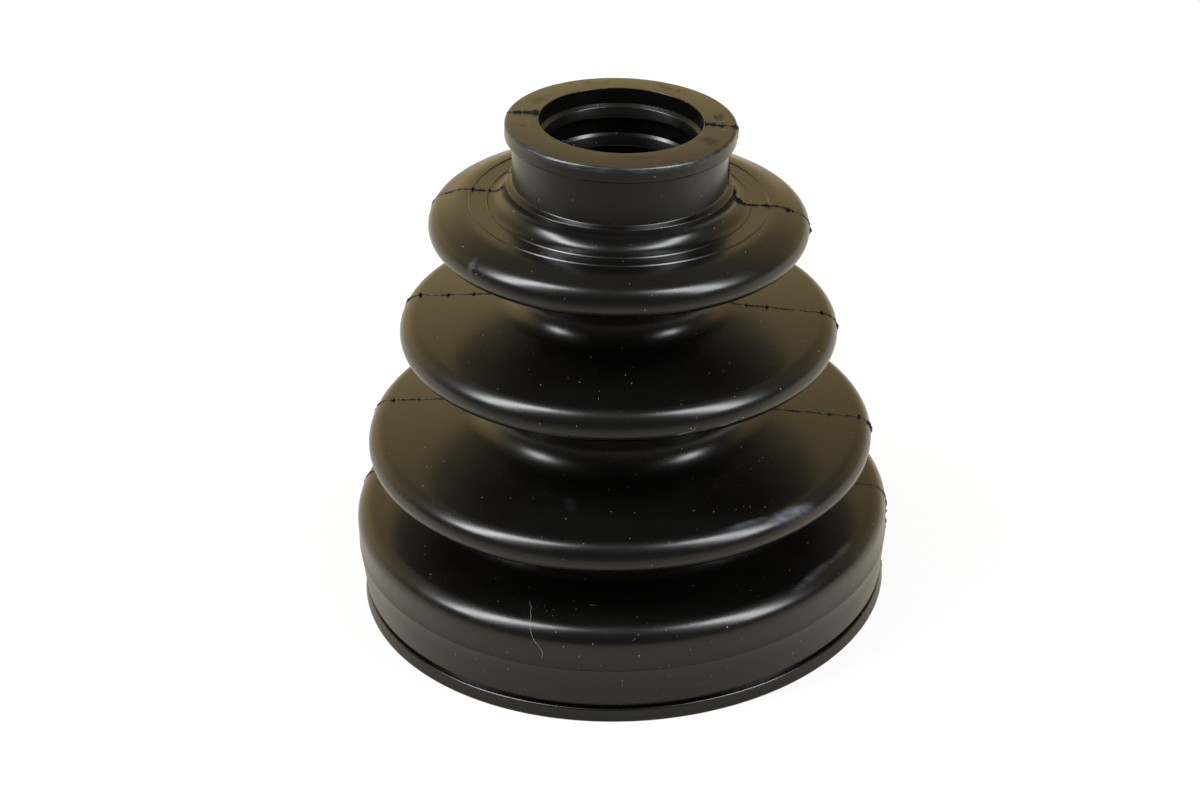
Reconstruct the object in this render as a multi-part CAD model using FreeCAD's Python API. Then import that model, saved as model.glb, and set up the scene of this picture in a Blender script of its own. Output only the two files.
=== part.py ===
import FreeCAD, Part
import math
import os

# Rubber bellows boot for a drive shaft joint, moulded in one piece.
# Millimetres, +Z up along the axis. The origin is the centre of the ring that the wide end stands on.

# Folds, from the wide end up
wall = 1.8                   # even thickness of the folds
crest_rounding = 2.75        # outside rounding of a fold's crest
upper_slope = 7.0            # degrees that the top of a fold falls towards its crest
under_slope = 20.0           # degrees that the underside of a fold falls towards its neck
low_crest_radius = 42.4
middle_crest_radius = 36.1
high_crest_radius = 30.8
low_neck_radius = 29.4       # outside, below the low crest
middle_neck_radius = 20.8
high_neck_radius = 15.1
low_neck_rounding = 1.7      # where the neck meets the fold below and the fold above
neck_rounding = 3.0          # the same at the two other necks
low_pitch = 14.2             # height of the low crest above the shoulder
middle_pitch = 20.1
high_pitch = 18.85

# Wide end: a foot, a groove above it, and a wall for the large strap up to the shoulder
wide_mouth_radius = 42.5
wide_mouth_chamfer = 0.8
wide_seat_height = 11.2      # where the mouth's wall ends and the wall of the folds begins
foot_thickness = 2.5         # outwards from the mouth
foot_height = 2.3
foot_draft = 0.3
foot_groove_height = 1.0
foot_groove_depth = 0.7
strap_wall_thickness = 2.8   # outwards from the mouth, at the fine ridge
strap_wall_taper = 0.6       # how far the strap's wall draws in at its lower edge
strap_wall_height = 6.9
shoulder_height = 13.6       # centre of the shoulder's rounding above the ground
shoulder_rounding = 2.5

# Narrow end: a collar with a strap groove between a bead and a lip
collar_height = 14.8         # above the top of the highest fold
bore_radius = 12.75
lip_radius = 18.5
lip_height = 3.1
lip_rounding = 1.0
strap_groove_radius = 17.3
strap_groove_height = 7.6
bead_radius = 18.3
bead_slope_height = 0.4
collar_fillet = 1.5          # between the bead's foot and the top of the highest fold
bore_entry_rounding = 1.8    # inside, where the bore opens into the highest fold

# Sealing ribs inside both ends, and fine ridges that the mould's joints leave outside
rib_height = 0.8
rib_width = 1.7
rib_slope = 0.35             # run of each side of a rib
rib_rounding = 0.2
upper_rib_depth = 3.6        # middle of the upper rib below the top of the collar
rib_spacing = 5.0
wide_rib_height = 0.5
wide_rib_centre = 5.0        # middle of the lower rib above the ground
wide_rib_spacing = 3.4
ridge_height = 0.22
ridge_half_width = 0.28
inner_ridge_radius = 21.3
outer_ridge_radius = 24.1
edge_rounding = 0.35         # small edges everywhere else

LEFT = 1
RIGHT = -1


def sine_and_cosine(angle):
    """Sine and cosine of an angle given in degrees."""
    turned = math.radians(angle)
    return math.sin(turned), math.cos(turned)


def neck_between(lower, upper, neck_radius, rounding):
    """The two roundings of a neck: from the top of the fold below, and into the underside of the fold above."""
    top_sine, top_cosine = sine_and_cosine(upper_slope)
    under_sine, under_cosine = sine_and_cosine(under_slope)
    centre = neck_radius + rounding
    rise = (lower[2] + rounding + top_sine * (lower[0] - centre)) / top_cosine
    drop = (upper[2] + rounding + under_sine * (upper[0] - centre)) / under_cosine
    return [(centre, lower[1] + rise, rounding, RIGHT), (centre, upper[1] - drop, rounding, RIGHT)]


def crest(radius, height, rounding):
    return radius - rounding, height, rounding, LEFT


def inner_side(rounding):
    """The same rounding on the inside of the wall, met on the way down."""
    centre, height, radius, turn = rounding
    return centre, height, radius - turn * wall, -turn


def corner(radius, height, turn):
    return radius, height, 0.0, turn


def heading(first, second):
    """Direction of the straight run that touches two roundings."""
    across = second[0] - first[0]
    up = second[1] - first[1]
    offset = second[3] * second[2] - first[3] * first[2]
    return math.atan2(up, across) - math.asin(offset / math.hypot(across, up))


def touch(rounding, angle):
    """Point where a run with this heading leaves or meets a rounding."""
    reach = rounding[3] * rounding[2]
    return FreeCAD.Vector(rounding[0] + reach * math.sin(angle), 0, rounding[1] - reach * math.cos(angle))


def closed_outline(roundings):
    """Straight runs and arcs round all roundings in turn, as one closed wire."""
    count = len(roundings)
    headings = [heading(roundings[i], roundings[(i + 1) % count]) for i in range(count)]
    edges = []
    for i, rounding in enumerate(roundings):
        arriving, leaving = headings[i - 1], headings[i]
        start, end = touch(rounding, arriving), touch(rounding, leaving)
        sweep = (rounding[3] * (leaving - arriving)) % (2 * math.pi)
        if rounding[2] > 0:
            middle = touch(rounding, arriving + rounding[3] * sweep / 2)
            edges.append(Part.Arc(start, middle, end).toShape())
        following = roundings[(i + 1) % count]
        edges.append(Part.LineSegment(end, touch(following, leaving)).toShape())
    return Part.Wire(edges)


def ridge_up_wall(radius, height):
    return [
        corner(radius, height - ridge_half_width, RIGHT),
        corner(radius + ridge_height, height, LEFT),
        corner(radius, height + ridge_half_width, RIGHT),
    ]


def ridge_on_top(radius, height):
    return [
        corner(radius + ridge_half_width, height, RIGHT),
        corner(radius, height + ridge_height, LEFT),
        corner(radius - ridge_half_width, height, RIGHT),
    ]


def rib_down_bore(radius, height, depth):
    """A sealing rib that stands in from a bore, met on the way down."""
    half = rib_width / 2
    face = radius - depth + rib_rounding
    return [
        corner(radius, height + half + rib_slope, RIGHT),
        (face, height + half - rib_rounding, rib_rounding, LEFT),
        (face, height - half + rib_rounding, rib_rounding, LEFT),
        corner(radius, height - half - rib_slope, RIGHT),
    ]


foot_radius = wide_mouth_radius + foot_thickness
strap_wall_radius = wide_mouth_radius + strap_wall_thickness

shoulder = crest(strap_wall_radius, shoulder_height, shoulder_rounding)
low_crest = crest(low_crest_radius, shoulder[1] + low_pitch, crest_rounding)
middle_crest = crest(middle_crest_radius, low_crest[1] + middle_pitch, crest_rounding)
high_crest = crest(high_crest_radius, middle_crest[1] + high_pitch, crest_rounding)
low_neck = neck_between(shoulder, low_crest, low_neck_radius, low_neck_rounding)
middle_neck = neck_between(low_crest, middle_crest, middle_neck_radius, neck_rounding)
high_neck = neck_between(middle_crest, high_crest, high_neck_radius, neck_rounding)
folds = [shoulder] + low_neck + [low_crest] + middle_neck + [middle_crest] + high_neck + [high_crest]

fold_top = high_crest[1] + crest_rounding
collar_top = fold_top + collar_height
groove_top = collar_top - lip_height
groove_foot = groove_top - strap_groove_height
strap_wall_foot = foot_height + foot_groove_height
strap_wall_top = strap_wall_foot + strap_wall_height
foot_top_radius = foot_radius - foot_draft
foot_groove_radius = strap_wall_radius - strap_wall_taper - foot_groove_depth

wide_end_outside = [
    (foot_radius - edge_rounding, edge_rounding, edge_rounding, LEFT),
    (foot_top_radius - edge_rounding, foot_height - edge_rounding, edge_rounding, LEFT),
    corner(foot_groove_radius, foot_height, RIGHT),
    corner(foot_groove_radius, strap_wall_foot, RIGHT),
    corner(strap_wall_radius - strap_wall_taper, strap_wall_foot, LEFT),
] + ridge_up_wall(strap_wall_radius, strap_wall_top)

collar_outside = ridge_on_top(outer_ridge_radius, fold_top) + ridge_on_top(inner_ridge_radius, fold_top) + [
    (bead_radius + collar_fillet, fold_top + collar_fillet, collar_fillet, RIGHT),
    corner(bead_radius, groove_foot - bead_slope_height, LEFT),
    corner(strap_groove_radius, groove_foot, RIGHT),
    corner(strap_groove_radius, groove_top, RIGHT),
    (lip_radius - edge_rounding, groove_top + edge_rounding, edge_rounding, LEFT),
    (lip_radius - lip_rounding, collar_top - lip_rounding, lip_rounding, LEFT),
    (bore_radius + edge_rounding, collar_top - edge_rounding, edge_rounding, LEFT),
]

upper_rib = collar_top - upper_rib_depth
collar_inside = (
    rib_down_bore(bore_radius, upper_rib, rib_height)
    + rib_down_bore(bore_radius, upper_rib - rib_spacing, rib_height)
    + [(bore_radius + bore_entry_rounding, fold_top - wall + bore_entry_rounding, bore_entry_rounding, LEFT)]
)

wide_end_inside = (
    [corner(wide_mouth_radius, wide_seat_height, LEFT)]
    + rib_down_bore(wide_mouth_radius, wide_rib_centre + wide_rib_spacing, wide_rib_height)
    + rib_down_bore(wide_mouth_radius, wide_rib_centre, wide_rib_height)
    + [
        corner(wide_mouth_radius, wide_mouth_chamfer, LEFT),
        corner(wide_mouth_radius + wide_mouth_chamfer, 0, LEFT),
    ]
)

folds_inside = [inner_side(rounding) for rounding in reversed(folds)]
section = closed_outline(wide_end_outside + folds + collar_outside + collar_inside + folds_inside + wide_end_inside)
boot = Part.Face(section).revolve(FreeCAD.Vector(0, 0, 0), FreeCAD.Vector(0, 0, 1), 360)

os.makedirs("parts", exist_ok=True)
boot.exportStep("parts/bellows_boot.step")

for name, neck in (("low", low_neck), ("middle", middle_neck), ("high", high_neck)):
    print(name, "neck roundings at heights", round(neck[0][1], 2), "and", round(neck[1][1], 2))
print("collar top", round(collar_top, 2), "volume", round(boot.Volume), "valid", boot.isValid(), boot.ShapeType)
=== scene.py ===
import math

import bpy
from mathutils import Matrix, Vector, noise


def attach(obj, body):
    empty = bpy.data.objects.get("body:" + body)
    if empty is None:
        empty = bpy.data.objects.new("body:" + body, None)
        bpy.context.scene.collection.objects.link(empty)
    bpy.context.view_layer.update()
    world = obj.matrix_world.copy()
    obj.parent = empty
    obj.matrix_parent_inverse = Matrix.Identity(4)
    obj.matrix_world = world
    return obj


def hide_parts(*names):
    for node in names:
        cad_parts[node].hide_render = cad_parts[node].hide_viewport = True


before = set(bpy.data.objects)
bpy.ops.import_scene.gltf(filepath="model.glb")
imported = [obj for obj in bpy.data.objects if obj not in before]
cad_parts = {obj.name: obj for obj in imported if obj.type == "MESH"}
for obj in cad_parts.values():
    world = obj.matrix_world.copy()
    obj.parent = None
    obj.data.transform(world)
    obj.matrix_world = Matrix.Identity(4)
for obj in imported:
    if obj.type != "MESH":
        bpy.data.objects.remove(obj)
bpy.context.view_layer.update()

mm = 0.001
noise.seed_set(12)                   # the lumps of the flash come out the same in each run

# The camera stands where the photograph's ellipses put it. Lengths in mm, angles in degrees.
cameraView = {
    "pivot": (0.0, 0.0, 40.5),       # the distance is taken from here
    "distance": 403.2,
    "elevation": 28.4,
    "turn": 5.5,                     # between the mould's parting plane and the picture
    "aim": (-2.9, 0.0, 33.93),
    "roll": -2.385,
    "lens": 72.35,
    "sensor": 36.0,
    "clip": (0.01, 20.0),            # m
}


def placeCamera():
    view = cameraView
    height = math.radians(view["elevation"])
    turn = Matrix.Rotation(math.radians(view["turn"]), 3, "Z")
    place = Vector((0, -math.cos(height), math.sin(height))) * view["distance"] + Vector(view["pivot"])
    aim = turn @ Vector(view["aim"]) * mm
    place = turn @ place * mm
    bpy.ops.object.camera_add(location=place)
    camera = bpy.context.object
    camera.name = "productCamera"
    facing = (aim - place).to_track_quat("-Z", "Y").to_matrix()
    camera.rotation_euler = (facing @ Matrix.Rotation(math.radians(view["roll"]), 3, "Z")).to_euler()
    camera.data.lens = view["lens"]
    camera.data.sensor_width = view["sensor"]
    camera.data.clip_start, camera.data.clip_end = view["clip"]
    bpy.context.scene.camera = camera


placeCamera()
print("camera placed")

# The boot's section: the solid's, with its roundings and heights matched to the photograph's highlights.
# Lengths in mm, heights above the ground.
bootShape = {
    "wall": 1.8,
    "crests": [(42.4, 28.2, 2.9), (36.1, 48.1, 3.0), (30.8, 66.75, 2.8)],   # radius, height, upper rounding
    "crestRounding": 2.5,            # of the lower half of a crest
    "crestStep": 0.02,               # between the centres of its two halves
    "topSlope": 5.0,                 # degrees that the top of a fold falls outwards
    "underSlope": 20.0,              # degrees that its underside falls inwards
    "necks": [(31.4, 3.2, 2.2), (21.8, 4.4, 3.0), (15.9, 4.0, 2.6)],   # radius, roundings at its foot and head
    "shoulder": (45.3, 14.2, 3.2),   # radius, height, rounding
    "foot": (45.0, 2.3, 0.3),        # radius, height, draft
    "footGroove": (43.9, 1.2),       # radius, height
    "strapWall": (44.7, 45.3, 10.2), # radius at its foot, radius at its top, height of the fine line
    "wallRidge": 0.06,               # how far the fine line round that wall stands out
    "mouth": (42.5, 0.8, 11.2),      # radius, chamfer, height where the folds' wall begins
    "mouthRibs": (0.5, 8.4, 5.0),    # height of a rib, heights above the ground of their middles
    "upperRibs": (0.8, 80.7, 75.7),  # the same inside the collar
    "ribWidth": 1.7,
    "ribSlope": 0.35,
    "ribRounding": 0.2,
    "ribLean": 0.45,                 # how much less a rib of the collar stands out at its top
    "boreRadius": 12.75,
    "boreEntry": 1.8,                # rounding where the bore opens into the highest fold
    "boreMouth": (13.1, 0.22, 0.12), # radius where it opens at the top, rise of the face to it, edge
    "collarTop": 84.3,
    "lip": (18.5, 2.6, 0.6),         # radius, height, rounding
    "strapGroove": (17.3, 7.6, 0.3), # radius, height, fillet at its foot
    "bead": (18.3, 0.2, 0.2, 2.5),   # radius, slope above it, edge, fillet below it
    "topPlateau": (24.6, 1.0, 6.0),  # the highest fold rises to the collar: radius where level, rise, rounding
    "topRidges": (24.1, 21.3),       # radii of the fine ridges round the collar
    "ridge": (0.14, 0.16),           # height, half width
    "smallEdge": 0.35,
    "arcStep": 9.0,                  # degrees between points on a rounding
    "runStep": 3.0,                  # longest distance between points on a straight run
    "turns": 196,                    # steps round the axis, which keep the piece under 200,000 triangles
    "creaseAngle": 30.0,
    "joinDistance": 1e-6,            # m
}
left, right = 1, -1                  # the side that the outline turns to
nearlyFullTurn = 6.2                 # radians: a sweep past this is no arc


def headingBetween(first, second):
    across, up = second[0] - first[0], second[1] - first[1]
    offset = second[3] * second[2] - first[3] * first[2]
    return math.atan2(up, across) - math.asin(offset / math.hypot(across, up))


def touchPoint(spot, angle):
    reach = spot[3] * spot[2]
    return Vector((spot[0] + reach * math.sin(angle), spot[1] - reach * math.cos(angle)))


def outlinePoints(spots, closed=True):
    # straight runs and arcs round the spots in turn: radius, height, rounding, side that the line turns to
    count = len(spots)
    last = count if closed else count - 1
    headings = [headingBetween(spots[i], spots[(i + 1) % count]) for i in range(last)]
    points = []
    for i, spot in enumerate(spots):
        leaving = headings[i] if i < last else headings[i - 1]
        arriving = headings[i - 1] if i > 0 or closed else leaving
        sweep = (spot[3] * (leaving - arriving)) % (2 * math.pi)
        steps = 0
        if spot[2] > 0 and sweep < nearlyFullTurn:
            steps = max(1, math.ceil(math.degrees(sweep) / bootShape["arcStep"]))
        arc = [touchPoint(spot, arriving + spot[3] * sweep * k / max(steps, 1)) for k in range(steps + 1)]
        if i > 0:
            points += between(points[-1], arc[0])
        points += arc
    if closed:
        points += between(points[-1], points[0])
    return points


def between(start, end):
    cuts = math.ceil((end - start).length / bootShape["runStep"])
    return [start.lerp(end, k / cuts) for k in range(1, cuts)]


def neckSpots(lower, upper, neckRadius, footSize, headSize):
    top, under = math.radians(bootShape["topSlope"]), math.radians(bootShape["underSlope"])
    foot, head = neckRadius + footSize, neckRadius + headSize
    rise = (lower[2] + footSize + math.sin(top) * (lower[0] - foot)) / math.cos(top)
    drop = (upper[2] + headSize + math.sin(under) * (upper[0] - head)) / math.cos(under)
    return [(foot, lower[1] + rise, footSize, right), (head, upper[1] - drop, headSize, right)]


def ribSpots(radius, height, depth, lean=0.0):
    shape = bootShape
    half, edge = shape["ribWidth"] / 2, shape["ribRounding"]
    face = radius - depth + edge
    return [
        (radius, height + half + shape["ribSlope"], 0, right),
        (face + lean, height + half - edge, edge, left),
        (face, height - half + edge, edge, left),
        (radius, height - half - shape["ribSlope"], 0, right),
    ]


def foldSpots():
    shape = bootShape
    radius, height, size = shape["shoulder"]
    spots = [(radius - size, height, size, left)]
    for (crestRadius, crestHeight, topRounding), neck in zip(shape["crests"], shape["necks"]):
        crest = (crestRadius - shape["crestRounding"], crestHeight, shape["crestRounding"], left)
        top = (crestRadius - topRounding, crestHeight + shape["crestStep"], topRounding, left)
        spots += neckSpots(spots[-1], crest, *neck) + [crest, top]
    return spots


def outsideSpots():
    shape = bootShape
    edge = shape["smallEdge"]
    ridgeHigh, ridgeHalf = shape["ridge"]
    footRadius, footHigh, draft = shape["foot"]
    grooveRadius, grooveHigh = shape["footGroove"]
    wallLow, wallRadius, wallTop = shape["strapWall"]
    lipRadius, lipHigh, lipRound = shape["lip"]
    strapRadius, strapHigh, strapFillet = shape["strapGroove"]
    beadRadius, beadSlope, beadEdge, fillet = shape["bead"]
    levelRadius, rise, levelRound = shape["topPlateau"]
    mouthRadius, faceRise, mouthEdge = shape["boreMouth"]
    foldTop = shape["crests"][-1][1] + shape["crests"][-1][2] + rise
    top = shape["collarTop"]
    grooveTop = top - lipHigh
    grooveFoot = grooveTop - strapHigh
    spots = [
        (footRadius - edge, edge, edge, left),
        (footRadius - draft - edge, footHigh - edge, edge, left),
        (grooveRadius, footHigh, 0, right),
        (grooveRadius, footHigh + grooveHigh, 0, right),
        (wallLow, footHigh + grooveHigh, 0, left),
        (wallRadius, wallTop - ridgeHalf, 0, right),
        (wallRadius + shape["wallRidge"], wallTop, 0, left),
        (wallRadius, wallTop + ridgeHalf, 0, right),
    ] + foldSpots() + [(levelRadius + ridgeHalf, foldTop - levelRound, levelRound, left)]
    for radius in shape["topRidges"]:
        spots += [(radius + ridgeHalf, foldTop, 0, right), (radius, foldTop + ridgeHigh, 0, left),
                  (radius - ridgeHalf, foldTop, 0, right)]
    return spots + [
        (beadRadius + fillet, foldTop + fillet, fillet, right),
        (beadRadius - beadEdge, grooveFoot - beadSlope - beadEdge, beadEdge, left),
        (strapRadius + strapFillet, grooveFoot + strapFillet, strapFillet, right),
        (strapRadius, grooveTop, 0, right),
        (lipRadius - edge, grooveTop + edge, edge, left),
        (lipRadius - lipRound, top - lipRound, lipRound, left),
        (mouthRadius + mouthEdge, top + faceRise - mouthEdge, mouthEdge, left),
    ]


def insideSpots():
    shape = bootShape
    bore, entry = shape["boreRadius"], shape["boreEntry"]
    foldTop = shape["crests"][-1][1] + shape["crestRounding"]
    mouth, chamfer, seat = shape["mouth"]
    ribHigh, *ribHeights = shape["upperRibs"]
    mouthRibHigh, *mouthRibHeights = shape["mouthRibs"]
    spots = []
    for height in ribHeights:
        spots += ribSpots(bore, height, ribHigh, shape["ribLean"])
    spots[0] = (shape["boreMouth"][0],) + spots[0][1:]   # the wall above the upper rib is upright
    spots.append((bore + entry, foldTop - shape["wall"] + entry, entry, left))
    spots += [(r, z, size - turn * shape["wall"], -turn) for r, z, size, turn in reversed(foldSpots())]
    spots.append((mouth, seat, 0, left))
    for height in mouthRibHeights:
        spots += ribSpots(mouth, height, mouthRibHigh)
    return spots + [(mouth, chamfer, 0, left), (mouth + chamfer, 0, 0, left)]


# A soft boot never stands quite straight: this one leans to the right, more so towards its top.
# The lean is in radians at one unit of height, in mm, and grows with the square of the height.
bootLean = {"unit": 45.0, "even": 0.021, "growing": 0.0064}


def leanPoint(point):
    even, growing, unit = bootLean["even"], bootLean["growing"], bootLean["unit"] * mm
    height = point.z / unit
    angle = even * height + growing * height ** 2
    shift = even * height ** 2 / 2 + growing * height ** 3 / 3
    return Vector((shift * unit + point.x * math.cos(angle), point.y, point.z - point.x * math.sin(angle)))


def leanMesh(piece):
    for vertex in piece.data.vertices:
        vertex.co = leanPoint(vertex.co)
    piece.data.update()


def startPiece(name):
    if bpy.context.object and bpy.context.object.mode != "OBJECT":
        bpy.ops.object.mode_set(mode="OBJECT")
    bpy.ops.object.select_all(action="DESELECT")
    bpy.ops.mesh.primitive_plane_add(size=mm, location=(0, 0, 0))
    piece = bpy.context.object
    piece.name = piece.data.name = name
    return piece


def spinSection(name, points, turns):
    # one point is drawn out along the section, the ends are joined, and the line is spun round the axis
    piece = startPiece(name)
    bpy.ops.object.mode_set(mode="EDIT")
    bpy.ops.mesh.select_all(action="SELECT")
    bpy.ops.mesh.merge(type="CENTER")
    bpy.ops.transform.translate(value=(points[0].x * mm, 0, points[0].y * mm))
    for before, after in zip(points, points[1:]):
        step = (after - before) * mm
        bpy.ops.mesh.extrude_region_move(TRANSFORM_OT_translate={"value": (step.x, 0, step.y)})
    bpy.ops.mesh.select_all(action="SELECT")
    bpy.ops.mesh.spin(steps=turns, angle=2 * math.pi, center=(0, 0, 0), axis=(0, 0, 1))
    bpy.ops.mesh.select_all(action="SELECT")
    bpy.ops.mesh.remove_doubles(threshold=bootShape["joinDistance"])
    bpy.ops.mesh.normals_make_consistent(inside=False)
    bpy.ops.object.mode_set(mode="OBJECT")
    return piece


sectionPoints = outlinePoints(outsideSpots() + insideSpots())
sectionPoints.append(sectionPoints[0].copy())
boot = spinSection("bootSkin", sectionPoints, bootShape["turns"])
leanMesh(boot)
bpy.ops.object.shade_smooth_by_angle(angle=math.radians(bootShape["creaseAngle"]))
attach(boot, "root")
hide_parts("bellows_boot")
print("boot spun:", len(sectionPoints), "points round the section,", len(boot.data.polygons), "faces")

# Where the halves of the mould met, a thin torn fin of rubber runs up each side.
# Lengths in mm, and along is the way up the outside of the section from the foot.
flashShape = {
    "halfWidth": 0.12,
    "sunk": 0.12,                    # how deep its edges lie in the boot
    "flank": 0.7,                    # height beside the middle, as a part of the middle's
    "step": 0.2,                     # between points along it
    "tears": (1.3, 2.7),             # mm between the large tears, and how many small ones to a mm
    "tearing": (0.15, 0.85, 1.1),    # least height, even share, torn share
    "widthTearing": 0.8,
    "wander": (0.18, 3.0),           # how far it strays sideways, and the length of a bend
    "lumps": (0.07, 2.2),            # depth of the uneven skin, and how many of its waves to a mm
    "pipSunk": 0.25,                 # how far a pip's middle stands out, as a part of its half width
    "creaseAngle": 40.0,
    "sides": {                       # degrees round the axis, then along and height of the fin
        "flashRight": (1.3, [
            (0, 0.1), (5, 0.12), (8, 0.2), (12, 0.3), (15, 0.22), (17.5, 0.13), (43.4, 0.13), (45.9, 0.3),
            (47.9, 0.26), (49.4, 0.13), (88.3, 0.13), (90.8, 0.3), (92.8, 0.28), (94.3, 0.13), (131.7, 0.13),
            (134.2, 0.3), (137.2, 0.3), (138.2, 0.06), (140.7, 0.04), (141.5, 0.16), (147.2, 0.2), (149.2, 0.45),
            (151.7, 0.4), (152.7, 0.1), (154, 0.2), (156.2, 0.4), (160.7, 0.25), (162.3, 0.1), (164.3, 0.12),
            (165.2, 0.4), (166, 0.05), (166.7, 0.1), (168, 0.2), (168.7, 0.35), (170.2, 0.5)]),
        "flashLeft": (176.4, [
            (0, 0.1), (8, 0.12), (12, 0.2), (16, 0.18), (20, 0.13), (43.4, 0.13), (46.9, 0.25), (49.4, 0.13),
            (90.3, 0.13), (92.3, 0.25), (94.8, 0.14), (134.2, 0.13), (137, 0.1), (138.7, 0.06), (141, 0.14),
            (148.2, 0.2), (150.2, 0.3), (153.2, 0.1), (154.5, 0.3), (156.2, 0.15), (160.7, 0.25), (162.7, 0.1),
            (164.8, 0.1), (166, 0.3), (170.2, 0.45)]),
    },
    "pips": {                        # lumps where air left the mould: along, half width, degrees from the fin
        "flashRight": [
            (141.5, 0.4, 0), (140.7, 0.2, 0), (108.6, 0.26, 0), (105.3, 0.3, 0), (96.2, 0.34, 0),
            (55.5, 0.3, 0), (50.4, 0.34, 0), (167.3, 0.34, 0), (167.8, 0.22, 0), (169.7, 0.3, 0),
            (153.9, 0.2, 0), (13.2, 0.26, 0), (145.1, 0.2, 0), (2.4, 0.3, -2), (2.2, 0.34, -13), (2, 0.3, -23)],
        "flashLeft": [
            (105.5, 0.3, 0), (101.2, 0.3, 0), (96.4, 0.34, 0), (51.7, 0.34, 0), (154.2, 0.34, 0),
            (144.7, 0.24, 0), (147.5, 0.2, 0), (56.2, 0.2, 0)],
    },
}


def outsideLine():
    # along, point and outward way, every step up the outside
    corners = outlinePoints(outsideSpots(), closed=False)
    line, along, step = [], 0.0, flashShape["step"]
    for start, end in zip(corners, corners[1:]):
        cuts = max(1, round((end - start).length / step))
        line += [(along + (end - start).length * k / cuts, start.lerp(end, k / cuts)) for k in range(cuts)]
        along += (end - start).length
    ways = []
    for i in range(len(line)):
        run = (line[min(i + 2, len(line) - 1)][1] - line[max(i - 2, 0)][1]).normalized()
        ways.append((line[i][0], line[i][1], Vector((run.y, -run.x))))
    return ways


def valueAlong(stops, along):
    for (low, first), (high, second) in zip(stops, stops[1:]):
        if along <= high:
            return first + (second - first) * max(0.0, along - low) / (high - low)
    return stops[-1][1]


def besideAxis(point, across, degrees):
    # a point of the section turned round the axis and leaned with the boot
    turn = Matrix.Rotation(math.radians(degrees), 3, "Z")
    return leanPoint(turn @ Vector((point.x, across, point.y)) * mm)


def tearNoise(along, row, degrees):
    return noise.noise(Vector((along, row, degrees)))


def flashWander(along, degrees):
    far, bend = flashShape["wander"]
    return far * tearNoise(along / bend, 9, degrees)


def layFlash(name, line):
    shape = flashShape
    degrees, stops = shape["sides"][name]
    largeTears, smallTears = shape["tears"]
    least, even, tornShare = shape["tearing"]
    last = len(line) - 1
    bpy.ops.object.select_all(action="DESELECT")
    bpy.ops.mesh.primitive_grid_add(x_subdivisions=last, y_subdivisions=4, size=2, location=(0, 0, 0))
    flash = bpy.context.object
    flash.name = flash.data.name = name
    for vertex in flash.data.vertices:
        along, point, outward = line[round((vertex.co.x + 1) / 2 * last)]
        across = vertex.co.y                     # -1 and 1 at the edges, 0 in the middle
        torn = tearNoise(along / largeTears, 0, degrees) + 0.5 * tearNoise(along * smallTears, 4, degrees)
        height = valueAlong(stops, along) * max(least, even + tornShare * torn)
        lift = -shape["sunk"] if abs(across) > 0.9 else height * (1.0 if abs(across) < 0.1 else shape["flank"])
        width = shape["halfWidth"] * (1 + shape["widthTearing"] * torn)
        vertex.co = besideAxis(point + outward * lift, flashWander(along, degrees) + across * width, degrees)
    bpy.ops.object.mode_set(mode="EDIT")
    bpy.ops.mesh.select_all(action="SELECT")
    bpy.ops.mesh.normals_make_consistent(inside=False)
    for along, size, away in shape["pips"][name]:
        point, outward = min(line, key=lambda entry: abs(entry[0] - along))[1:]
        middle = point + outward * size * shape["pipSunk"]
        place = besideAxis(middle, flashWander(along, degrees), degrees + away)
        bpy.ops.mesh.primitive_ico_sphere_add(subdivisions=3, radius=size * mm, location=place)
    bpy.ops.object.mode_set(mode="OBJECT")
    depth, waves = shape["lumps"]
    for vertex in flash.data.vertices:
        vertex.co += depth * mm * noise.noise_vector(vertex.co / mm * waves)
    bpy.ops.object.shade_smooth_by_angle(angle=math.radians(shape["creaseAngle"]))
    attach(flash, "root")
    return flash


flashLine = outsideLine()
flashPieces = [layFlash(name, flashLine) for name in flashShape["sides"]]
print("flash laid:", [len(piece.data.polygons) for piece in flashPieces], "faces")

# Lint that the boot has picked up: a hair over the shoulder, short fibres under the folds and threads at the
# dent in the highest fold. Points in mm.
lintShape = {
    "thickness": 0.022,
    "lift": 0.02,                    # above the rubber
    "cuts": 3,                       # more points between two given ones
    "threads": [
        [(-11.7, -35.9, 16.9), (-11.3, -38.3, 17.0), (-11.0, -40.6, 16.9), (-10.9, -42.6, 16.2),
         (-10.3, -44.1, 15.0), (-9.5, -44.9, 13.9), (-9.1, -45.0, 12.8), (-9.3, -45.0, 11.9)],
        [(12.3, -34.2, 46.4), (13.4, -33.9, 46.7), (14.6, -33.4, 46.9), (15.3, -33.2, 47.6)],
        [(18.7, -31.2, 46.5), (20.0, -30.4, 46.6), (21.4, -29.5, 46.9)],
        [(-1.6, -43.9, 15.4), (-1.2, -43.6, 15.8), (-0.6, -43.3, 16.1)],
        [(5.2, -43.9, 15.2), (6.0, -43.4, 15.7), (6.3, -42.9, 16.1)],
        [(-2.0, -38.0, 16.9), (-1.0, -38.1, 16.9)],
        [(-19.4, -22.2, 69.3), (-19.1, -22.4, 69.1)],
        [(-18.9, -22.9, 68.6), (-18.7, -23.1, 68.5)],
        [(-17.6, -23.7, 68.8), (-17.4, -23.8, 68.7)],
    ],
}


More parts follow.
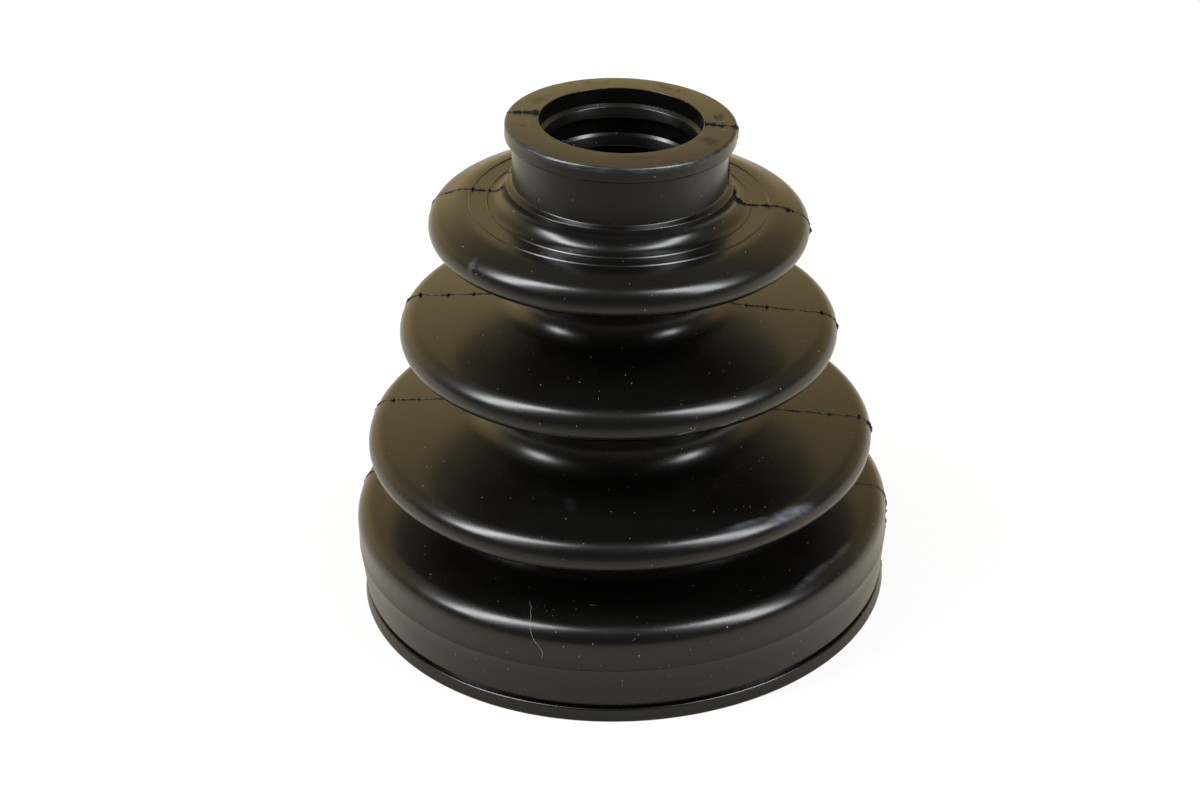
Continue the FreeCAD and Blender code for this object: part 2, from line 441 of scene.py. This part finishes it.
def layLint():
    shape = lintShape
    lint = startPiece("lintThreads")
    bpy.ops.object.mode_set(mode="EDIT")
    bpy.ops.mesh.select_all(action="SELECT")
    bpy.ops.mesh.delete(type="VERT")
    for thread in shape["threads"]:
        bpy.ops.mesh.primitive_plane_add(size=mm, location=Vector(thread[0]) * mm)
        bpy.ops.mesh.merge(type="CENTER")
        for before, after in zip(thread, thread[1:]):
            step = (Vector(after) - Vector(before)) * mm
            bpy.ops.mesh.extrude_region_move(TRANSFORM_OT_translate={"value": step})
        bpy.ops.mesh.select_all(action="DESELECT")
    bpy.ops.mesh.select_all(action="SELECT")
    bpy.ops.mesh.subdivide(number_cuts=shape["cuts"], smoothness=1.0)
    bpy.ops.object.mode_set(mode="OBJECT")
    wrap = lint.modifiers.new("wrap", "SHRINKWRAP")
    wrap.target = boot
    wrap.offset = shape["lift"] * mm
    wrap.wrap_mode = "ABOVE_SURFACE"
    bpy.ops.object.modifier_apply(modifier=wrap.name)
    bpy.ops.object.convert(target="CURVE")
    bpy.context.object.data.bevel_depth = shape["thickness"] * mm
    bpy.context.object.data.bevel_resolution = 1
    bpy.ops.object.convert(target="MESH")
    lint = bpy.context.object
    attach(lint, "root")
    return lint


lint = layLint()
print("lint laid:", len(lint.data.polygons), "faces")


def linearColour(text):
    parts = [int(text[i:i + 2], 16) / 255 for i in (1, 3, 5)]
    return [v / 12.92 if v <= 0.04045 else ((v + 0.055) / 1.055) ** 2.4 for v in parts] + [1.0]


def addNode(tree, kind, links=None, **settings):
    # adds a node, sets its own settings, and gives each named or numbered socket a value or a link
    node = tree.nodes.new(kind)
    for key, value in settings.items():
        setattr(node, key, value)
    for socket, value in (links or {}).items():
        if isinstance(value, bpy.types.NodeSocket):
            tree.links.new(value, node.inputs[socket])
        else:
            node.inputs[socket].default_value = value
    return node


def newMaterial(name):
    material = bpy.data.materials.new(name)
    material.use_nodes = True
    material.node_tree.nodes.clear()
    return material, material.node_tree


def wear(piece, material):
    piece.data.materials.clear()
    piece.data.materials.append(material)


# Moulded chloroprene rubber: nearly black, with the soft shine of its oils, so the eye sees the room in it.
# Dust, scuffs and pressed grain break that shine, and a pale line on the collar's front edge is partly wear,
# partly a painted highlight. Lengths in mm.
rubberFinish = {
    "colour": "#070706",
    "roughness": 0.27,
    "roughnessSpread": 0.03,         # more or less in patches
    "patchSpacing": 9,
    "ior": 1.52,
    "wave": (7.0, 0.02),             # between the uneven places of the skin, and their depth
    "grain": (0.8, 0.003),           # drawn coarser than the real one, which is too fine to see
    "markColours": {"stain": "#050505", "scuffAndEdgeHighlight": "#7c8490", "dust": "#c4b9a6"},
    "markRoughness": {"stain": 0.75, "scuffAndEdgeHighlight": 0.55, "dust": 0.9},
    "markCore": 0.25,                # the part of a mark that has its full strength
    "dustSpacing": 1.15,
    "dustSize": (0.08, 0.6),         # as a part of the spacing, and the part of the speck that is solid
    "dustShare": 0.6,                # how many of the places hold a speck
    "dustFaintness": 2.5,            # the higher, the fewer specks are bright
    "streakSpacing": 0.8,
    "streakTurn": -50,               # degrees
    "streakStretch": (0.16, 1, 0.6),
    "streakLimits": (0.28, 0.7),
    "blotSpacing": 2.2,
    "blotLimits": (0.42, 0.56),
    "wornEdgeAndHighlight": {                    # the front edge of the collar's face: wear and a painted highlight
        "place": (2.27, 0.0, 84.3),  # middle of the face
        "tilt": 3.5,
        "radii": (17.6, 18.3),
        "strength": 0.16,
        "drop": (-1.1, -0.4),
        "front": (-2.0, -13.0),
        "streaks": (0.32, 0.6),
    },
    "scuffs": [                      # middle, half lengths, degrees round Z, strength
        ((22.5, -33.7, 30.0), (5.2, 0.8, 1.6), 33, 0.30),
        ((29.5, -29.2, 29.5), (6.5, 1.3, 2.2), 42, 0.42),
        ((33.6, -26.5, 16.0), (8.0, 1.0, 2.2), 56, 0.42),
        ((37.6, -20.2, 16.0), (4.6, 1.0, 2.0), 62, 0.36),
        ((-19.6, -21.4, 69.3), (1.0, 1.7, 1.7), -40, 0.22),
        ((15.0, -26.8, 67.9), (1.4, 0.6, 1.2), 25, 0.2),
        ((-5.2, -30.6, 31.7), (1.3, 3.0, 1.6), 15, 0.05),
        ((-28.4, -6.0, 67.5), (1.0, 1.4, 1.6), 10, 0.12),
    ],
    "stains": [
        ((17.2, 3.2, 83.4), (1.4, 3.2, 2.0), -20, 0.75),
        ((16.4, -6.2, 83.5), (2.4, 2.2, 2.0), 0, 0.65),
        ((-12.6, 6.4, 85.2), (4.6, 2.4, 2.0), 30, 0.45),
        ((-13.0, -4.6, 85.2), (3.4, 1.4, 2.0), -20, 0.45),
        ((9.8, 14.0, 83.9), (5.0, 1.6, 2.0), -35, 0.40),
        ((-3.0, 15.5, 84.5), (6.0, 1.5, 2.0), 5, 0.35),
        ((6.0, -14.5, 84.2), (7.0, 1.6, 2.0), 10, 0.35),
        ((-18.2, -23.0, 68.6), (0.9, 1.1, 1.1), 0, 0.9),
    ],
}


def markMask(tree, place, marks):
    # soft spots, each strongest in its middle, and where two meet the stronger one shows
    total = 0.0
    for middle, halves, degrees, strength in marks:
        near = addNode(tree, "ShaderNodeMapping", {
            "Vector": place, "Location": Vector(middle) * mm, "Rotation": (0, 0, math.radians(degrees)),
            "Scale": Vector(halves) * mm}, vector_type="TEXTURE")
        away = addNode(tree, "ShaderNodeVectorMath", {0: near.outputs[0]}, operation="LENGTH")
        spot = addNode(tree, "ShaderNodeMapRange", {
            0: away.outputs["Value"], 1: rubberFinish["markCore"], 2: 1.0, 3: strength, 4: 0.0},
            interpolation_type="SMOOTHSTEP")
        stronger = addNode(tree, "ShaderNodeMath", {0: total, 1: spot.outputs[0]}, operation="MAXIMUM")
        total = stronger.outputs[0]
    return total


def mouldedRubber():
    finish = rubberFinish
    material, tree = newMaterial("mouldedRubber")
    place = addNode(tree, "ShaderNodeTexCoord").outputs["Object"]

    # scratched patches: soft spots broken into streaks that run round the boot
    drawn = addNode(tree, "ShaderNodeMapping", {
        "Vector": place, "Rotation": (0, 0, math.radians(finish["streakTurn"])),
        "Scale": finish["streakStretch"]})
    streaks = addNode(tree, "ShaderNodeTexNoise", {
        "Vector": drawn.outputs[0], "Scale": 1 / (finish["streakSpacing"] * mm), "Detail": 4.0,
        "Roughness": 0.7})
    low, high = finish["streakLimits"]
    streaked = addNode(tree, "ShaderNodeMapRange", {0: streaks.outputs[0], 1: low, 2: high}).outputs[0]
    scuffed = markMask(tree, place, finish["scuffs"])
    scuffs = addNode(tree, "ShaderNodeMath", {0: scuffed, 1: streaked}, operation="MULTIPLY")

    # the front edge of the collar, painted pale: partly wear, partly a painted highlight on its rounding where
    # the camera sees it
    edge = finish["wornEdgeAndHighlight"]
    collar = addNode(tree, "ShaderNodeMapping", {
        "Vector": place, "Location": Vector(edge["place"]) * mm, "Rotation": (0, math.radians(edge["tilt"]), 0),
        "Scale": (mm, mm, mm)}, vector_type="TEXTURE")
    parts = addNode(tree, "ShaderNodeSeparateXYZ", {0: collar.outputs[0]}).outputs
    flat = addNode(tree, "ShaderNodeCombineXYZ", {0: parts["X"], 1: parts["Y"]})
    radius = addNode(tree, "ShaderNodeVectorMath", {0: flat.outputs[0]}, operation="LENGTH").outputs["Value"]
    low, high = edge["radii"]
    worn = addNode(tree, "ShaderNodeMapRange", {
        0: radius, 1: low, 2: high, 3: 0.0, 4: edge["strength"]}).outputs[0]
    limits = ((parts["Z"], edge["drop"]), (parts["Y"], edge["front"]), (streaks.outputs[0], edge["streaks"]))
    for source, (low, high) in limits:
        limit = addNode(tree, "ShaderNodeMapRange", {0: source, 1: low, 2: high}).outputs[0]
        worn = addNode(tree, "ShaderNodeMath", {0: worn, 1: limit}, operation="MULTIPLY").outputs[0]
    # scuffs, and the collar edge's wear with its painted highlight, in one pale share
    pale = addNode(tree, "ShaderNodeMath", {0: scuffs.outputs[0], 1: worn}, operation="MAXIMUM").outputs[0]

    # greasy stains that dull the shine
    blots = addNode(tree, "ShaderNodeTexNoise", {
        "Vector": place, "Scale": 1 / (finish["blotSpacing"] * mm), "Detail": 3.0, "Roughness": 0.6})
    low, high = finish["blotLimits"]
    blotted = addNode(tree, "ShaderNodeMapRange", {0: blots.outputs[0], 1: low, 2: high}).outputs[0]
    stained = markMask(tree, place, finish["stains"])
    dull = addNode(tree, "ShaderNodeMath", {0: stained, 1: blotted}, operation="MULTIPLY").outputs[0]

    # specks of dust
    cells = addNode(tree, "ShaderNodeTexVoronoi", {
        "Vector": place, "Scale": 1 / (finish["dustSpacing"] * mm), "Randomness": 1.0})
    size, solid = finish["dustSize"]
    near = addNode(tree, "ShaderNodeMapRange", {
        0: cells.outputs["Distance"], 1: size, 2: size * solid}).outputs[0]
    chance = addNode(tree, "ShaderNodeSeparateColor", {0: cells.outputs["Color"]}).outputs
    chosen = addNode(tree, "ShaderNodeMath", {0: chance[0], 1: finish["dustShare"]}, operation="LESS_THAN")
    shown = addNode(tree, "ShaderNodeMath", {0: near, 1: chosen.outputs[0]}, operation="MULTIPLY").outputs[0]
    faint = addNode(tree, "ShaderNodeMath", {0: chance[1], 1: finish["dustFaintness"]}, operation="POWER")
    dust = addNode(tree, "ShaderNodeMath", {0: shown, 1: faint.outputs[0]}, operation="MULTIPLY").outputs[0]

    # the marks over the clean rubber, in colour and in roughness; the pale share also paints a highlight on the
    # collar's front edge
    colour = linearColour(finish["colour"])
    for share, name in ((dull, "stain"), (pale, "scuffAndEdgeHighlight"), (dust, "dust")):
        mark = linearColour(finish["markColours"][name])
        colour = addNode(tree, "ShaderNodeMix", {0: share, 6: colour, 7: mark}, data_type="RGBA").outputs[2]
    patches = addNode(tree, "ShaderNodeTexNoise", {
        "Vector": place, "Scale": 1 / (finish["patchSpacing"] * mm), "Detail": 3.0})
    smooth, coarse = (finish["roughness"] + way * finish["roughnessSpread"] for way in (-1, 1))
    rough = addNode(tree, "ShaderNodeMapRange", {
        0: patches.outputs[0], 1: 0.3, 2: 0.7, 3: smooth, 4: coarse}).outputs[0]
    for share, name in ((pale, "scuffAndEdgeHighlight"), (dull, "stain"), (dust, "dust")):
        rough = addNode(tree, "ShaderNodeMix", {0: share, 2: rough, 3: finish["markRoughness"][name]}).outputs[0]

    bump = None
    for spacing, depth in (finish["wave"], finish["grain"]):
        uneven = addNode(tree, "ShaderNodeTexNoise", {
            "Vector": place, "Scale": 1 / (spacing * mm), "Detail": 2.0})
        links = {"Height": uneven.outputs[0], "Distance": depth * mm, "Strength": 1.0}
        if bump:
            links["Normal"] = bump.outputs[0]
        bump = addNode(tree, "ShaderNodeBump", links)
    skin = addNode(tree, "ShaderNodeBsdfPrincipled", {
        "Base Color": colour, "Roughness": rough, "Normal": bump.outputs[0], "IOR": finish["ior"]})
    addNode(tree, "ShaderNodeOutputMaterial", {"Surface": skin.outputs["BSDF"]})
    return material


# The same rubber where it is torn: no skin is left, so the eye sees a dull black.
tornFinish = {"colour": "#040404", "roughness": 0.5, "ior": 1.52}


def tornRubber():
    material, tree = newMaterial("tornRubber")
    torn = addNode(tree, "ShaderNodeBsdfPrincipled", {
        "Base Color": linearColour(tornFinish["colour"]), "Roughness": tornFinish["roughness"],
        "IOR": tornFinish["ior"]})
    addNode(tree, "ShaderNodeOutputMaterial", {"Surface": torn.outputs["BSDF"]})
    return material


# Cotton lint: pale and quite dull.
lintFinish = {"colour": "#8f8778", "roughness": 0.8}


def cottonLint():
    material, tree = newMaterial("cottonLint")
    fibre = addNode(tree, "ShaderNodeBsdfPrincipled", {
        "Base Color": linearColour(lintFinish["colour"]), "Roughness": lintFinish["roughness"]})
    addNode(tree, "ShaderNodeOutputMaterial", {"Surface": fibre.outputs["BSDF"]})
    return material


wear(boot, mouldedRubber())
torn = tornRubber()
for piece in flashPieces:
    wear(piece, torn)
wear(lint, cottonLint())
print("rubber and lint worn")

# A white table that keeps a faint shadow and shows the rubber a painted reflection of itself, two soft boxes
# high on the left and right, and a warm dim room.
# Lengths in m, angles in degrees.
studio = {
    "tableSize": 8.0,
    "tableColour": "#f4f4f4",
    "whiteShare": 0.86,              # how much of the table is plain white to the eye
    "paintedMirrorColour": "#fff3e0",     # the table as the rubber's shine shows it: a painted reflection
    "paintedMirror": {                    # how bright that painted reflection is: from, to, value at each
        "front": (-0.3, -0.065, 0.25, 0.8),      # along Y, dimmer towards the camera
        "paintedSideLight": (-0.065, -0.025, 1.0, 1.38),   # along Y, painted light, brighter at the boot's sides
        "paintedFootShadow": (0.046, 0.06, 0.62, 1.0),     # away from the axis, a painted shadow of the boot, dimmer close to the foot
    },
    "room": {                        # colours of the room by the sine of the height, which is 0 at the table
        "behindLeft": [(0.0, "#c3ad7f"), (0.2, "#dfc48d"), (0.38, "#d2b986"), (0.55, "#b19c72"),
                       (0.75, "#6c6352"), (1.0, "#45433e")],
        "behindRight": [(0.0, "#a58e68"), (0.2, "#b09a6d"), (0.38, "#a68f64"), (0.55, "#907c5c"),
                        (0.75, "#6c614d"), (1.0, "#45433e")],
        "front": [(0.0, "#544f49"), (0.3, "#423f3a"), (0.5, "#383532"), (1.0, "#33312d")],
    },
    "leftToRight": (-0.2, 0.5),      # where one part of the room goes over into the next
    "frontToBehind": (0.0, 0.6),
    "roomStrength": 1.8,
    "lampDistance": 1.0,
    "lampAim": (0.0, 0.0, 0.04),
    "lamps": [                       # name, degrees from behind to the right, degrees up, width, height, watts
        ("leftBox", -107.0, 50.0, 0.25, 0.84, 12.9, "#fcfdff"),
        ("rightBox", 119.0, 47.0, 0.25, 0.84, 10.7, "#fafcff"),
    ],
}


def tableMaterial():
    material, tree = newMaterial("whiteTable")
    rays = addNode(tree, "ShaderNodeLightPath").outputs
    seen = addNode(tree, "ShaderNodeMath", {0: rays["Is Camera Ray"], 1: rays["Is Transmission Ray"]},
                   operation="ADD", use_clamp=True).outputs[0]
    share = addNode(tree, "ShaderNodeMath", {0: seen, 1: studio["whiteShare"]}, operation="MULTIPLY").outputs[0]
    paper = addNode(tree, "ShaderNodeBsdfDiffuse", {"Color": linearColour(studio["tableColour"])}).outputs[0]
    white = addNode(tree, "ShaderNodeEmission", {"Color": (1, 1, 1, 1), "Strength": 1.0}).outputs[0]
    plain = addNode(tree, "ShaderNodeMixShader", {0: share, 1: paper, 2: white}).outputs[0]

    # the table in the rubber's reflections: an emission with painted light and shade, dimmer in front, brighter
    # beside the boot and darker at its foot as a painted shadow
    place = addNode(tree, "ShaderNodeTexCoord").outputs["Object"]
    along = addNode(tree, "ShaderNodeSeparateXYZ", {0: place}).outputs["Y"]
    away = addNode(tree, "ShaderNodeVectorMath", {0: place}, operation="LENGTH").outputs["Value"]
    glow = 1.0
    for name, source in (("front", along), ("paintedSideLight", along), ("paintedFootShadow", away)):
        sockets = dict(enumerate((source, *studio["paintedMirror"][name])))
        part = addNode(tree, "ShaderNodeMapRange", sockets).outputs[0]
        glow = addNode(tree, "ShaderNodeMath", {0: glow, 1: part}, operation="MULTIPLY").outputs[0]
    paintedMirror = addNode(tree, "ShaderNodeEmission", {
        "Color": linearColour(studio["paintedMirrorColour"]), "Strength": glow}).outputs[0]
    both = addNode(tree, "ShaderNodeMixShader", {0: rays["Is Glossy Ray"], 1: plain, 2: paintedMirror})
    addNode(tree, "ShaderNodeOutputMaterial", {"Surface": both.outputs[0]})
    return material


def studioDirection(across, up):
    across, up = math.radians(across), math.radians(up)
    turn = Matrix.Rotation(math.radians(cameraView["turn"]), 3, "Z")
    return turn @ Vector((math.sin(across) * math.cos(up), math.cos(across) * math.cos(up), math.sin(up)))


def placeStudio():
    bpy.ops.object.select_all(action="DESELECT")
    bpy.ops.mesh.primitive_plane_add(size=studio["tableSize"], location=(0, 0, 0))
    table = bpy.context.object
    table.name = "studioTable"
    wear(table, tableMaterial())
    for name, across, up, width, height, watts, colour in studio["lamps"]:
        direction = studioDirection(across, up)
        place = Vector(studio["lampAim"]) + direction * studio["lampDistance"]
        bpy.ops.object.light_add(type="AREA", location=place)
        lamp = bpy.context.object
        lamp.name = name
        lamp.data.shape = "RECTANGLE"
        lamp.data.size, lamp.data.size_y = width, height
        lamp.data.energy = watts
        lamp.data.color = linearColour(colour)[:3]
        lamp.rotation_euler = direction.to_track_quat("Z", "Y").to_euler()


def roomLight():
    world = bpy.data.worlds.new("warmRoom")
    bpy.context.scene.world = world
    world.use_nodes = True
    tree = world.node_tree
    tree.nodes.clear()
    way = addNode(tree, "ShaderNodeTexCoord").outputs["Generated"]
    turned = addNode(tree, "ShaderNodeMapping", {
        "Vector": way, "Rotation": (0, 0, math.radians(-cameraView["turn"]))})
    parts = addNode(tree, "ShaderNodeSeparateXYZ", {0: turned.outputs[0]}).outputs

    colours = {}
    for name, stops in studio["room"].items():
        ramp = addNode(tree, "ShaderNodeValToRGB", {0: parts["Z"]})
        for i, (height, colour) in enumerate(stops):
            spot = ramp.color_ramp.elements[i] if i < 2 else ramp.color_ramp.elements.new(height)
            spot.position, spot.color = height, linearColour(colour)
        colours[name] = ramp.outputs[0]
    shares = []
    for axis, name in (("X", "leftToRight"), ("Y", "frontToBehind")):
        low, high = studio[name]
        shares.append(addNode(tree, "ShaderNodeMapRange", {0: parts[axis], 1: low, 2: high},
                              interpolation_type="SMOOTHSTEP").outputs[0])
    behind = addNode(tree, "ShaderNodeMix", {
        0: shares[0], 6: colours["behindLeft"], 7: colours["behindRight"]}, data_type="RGBA").outputs[2]
    room = addNode(tree, "ShaderNodeMix", {0: shares[1], 6: colours["front"], 7: behind}, data_type="RGBA")
    light = addNode(tree, "ShaderNodeBackground", {"Color": room.outputs[2], "Strength": studio["roomStrength"]})
    addNode(tree, "ShaderNodeOutputWorld", {"Surface": light.outputs[0]})


placeStudio()
roomLight()
bpy.context.scene.view_settings.view_transform = "Standard"
print("studio lit")
